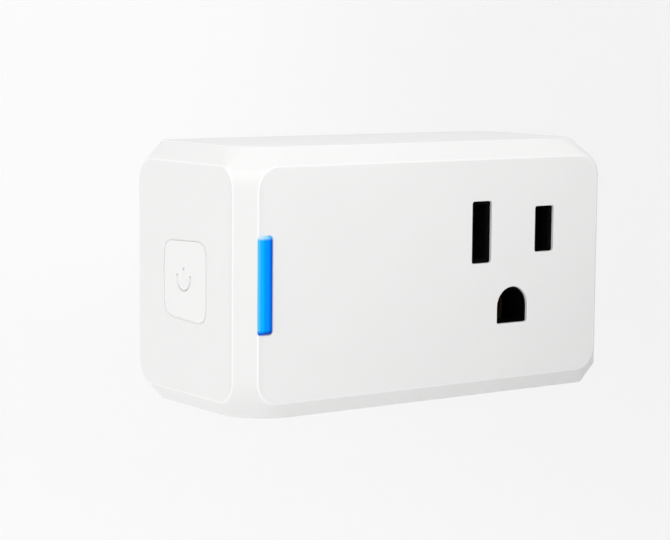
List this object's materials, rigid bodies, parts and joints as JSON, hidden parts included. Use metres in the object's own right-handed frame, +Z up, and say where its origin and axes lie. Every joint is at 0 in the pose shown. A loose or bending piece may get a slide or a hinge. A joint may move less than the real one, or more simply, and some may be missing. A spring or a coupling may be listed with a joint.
{
  "type": "smart plug",
  "caption": "White rectangular smart plug with bevelled edges, a grounded receptacle, a side power button, a blue light bar and three prongs on its back.",
  "frame": {"origin": "on the flat wall-side face, midway between the two flat blades and level with them", "axes": "+Y into the wall along the prongs, +Z up, +X right as seen from the outlet side"},
  "size_m": [0.0704, 0.0522, 0.0399],
  "materials": {
    "case_white": "fine satin moulded plastic",
    "button_white": "fine satin moulded plastic",
    "light_blue": "clear polished light pipe, lit blue",
    "carrier_black": "matte black moulding",
    "contact_brass": "rolled sheet",
    "prong_brass": "satin, punched edges",
    "screw_steel": "zinc plated",
    "board_green": "solder resist",
    "board_blue": "solder resist",
    "shield_tin": "tinned sheet",
    "header_black": "moulded",
    "nylon": "natural nylon",
    "led_lens": "clear epoxy",
    "relay_black": "moulded",
    "relay_iron": "plated soft iron",
    "copper_wire": "enamelled copper wire",
    "film_yellow": "potted box",
    "varistor_blue": "dipped epoxy",
    "resistor_green": "flameproof coat",
    "sleeve_black": "shrunk sleeve",
    "chip_black": "moulded epoxy",
    "ferrite": "ground ferrite",
    "tape_yellow": "polyester tape"
  },
  "bodies": {
    "housing": {"front_cover": "case_white", "rear_cover": "case_white", "light_bar": "light_blue", "outlet_carrier": "carrier_black", "neutral_contact": "contact_brass", "line_contact": "contact_brass", "ground_contact": "contact_brass", "neutral_blade": "prong_brass", "line_blade": "prong_brass", "ground_pin": "prong_brass", "cover_screw_1": "screw_steel", "cover_screw_2": "screw_steel", "cover_screw_3": "screw_steel", "cover_screw_4": "screw_steel", "board_screw_1": "screw_steel", "board_screw_2": "screw_steel", "power_board": "board_green", "control_board": "board_blue", "wifi_module": "board_blue", "wifi_shield": "shield_tin", "board_header": "header_black", "tact_switch": "header_black", "status_led_1": "led_lens", "status_led_2": "led_lens", "relay_case": "relay_black", "relay_base": "relay_black", "relay_yoke": "relay_iron", "relay_core": "relay_iron", "relay_bobbin": "nylon", "relay_coil": "copper_wire", "relay_fixed_contact": "contact_brass", "x_capacitor": "film_yellow", "varistor": "varistor_blue", "fuse_resistor": "resistor_green", "filter_choke": "copper_wire", "bulk_capacitor_1": "sleeve_black", "bulk_capacitor_2": "sleeve_black", "bridge_rectifier": "chip_black", "power_chip": "chip_black", "transformer_core": "ferrite", "transformer_bobbin": "relay_black", "transformer_winding": "tape_yellow"},
    "button": {"side_button": "button_white"},
    "plunger": {"tact_plunger": "nylon"},
    "armature": {"relay_armature": "relay_iron", "relay_moving_contact": "contact_brass"}
  },
  "joints": [
    {"name": "button_press", "type": "slide", "parent": "housing", "child": "button", "axis": [1, 0, 0], "range_m": [0, 0.00035], "stiffness_N_per_m": 1500, "springref_m": -0.0005},
    {"name": "plunger_press", "type": "slide", "parent": "housing", "child": "plunger", "axis": [1, 0, 0], "range_m": [0, 0.00035]},
    {"name": "armature_swing", "type": "hinge", "parent": "housing", "child": "armature", "pos_m": [-0.0179, -0.02005, -0.021], "axis": [-1, 0, 0], "range_deg": [0, 3.5], "stiffness_Nm_per_rad": 0.01, "springref_deg": -5.73}
  ],
  "couplings": [
    {"joint": "plunger_press", "follows": "button_press", "ratio": 1}
  ]
}
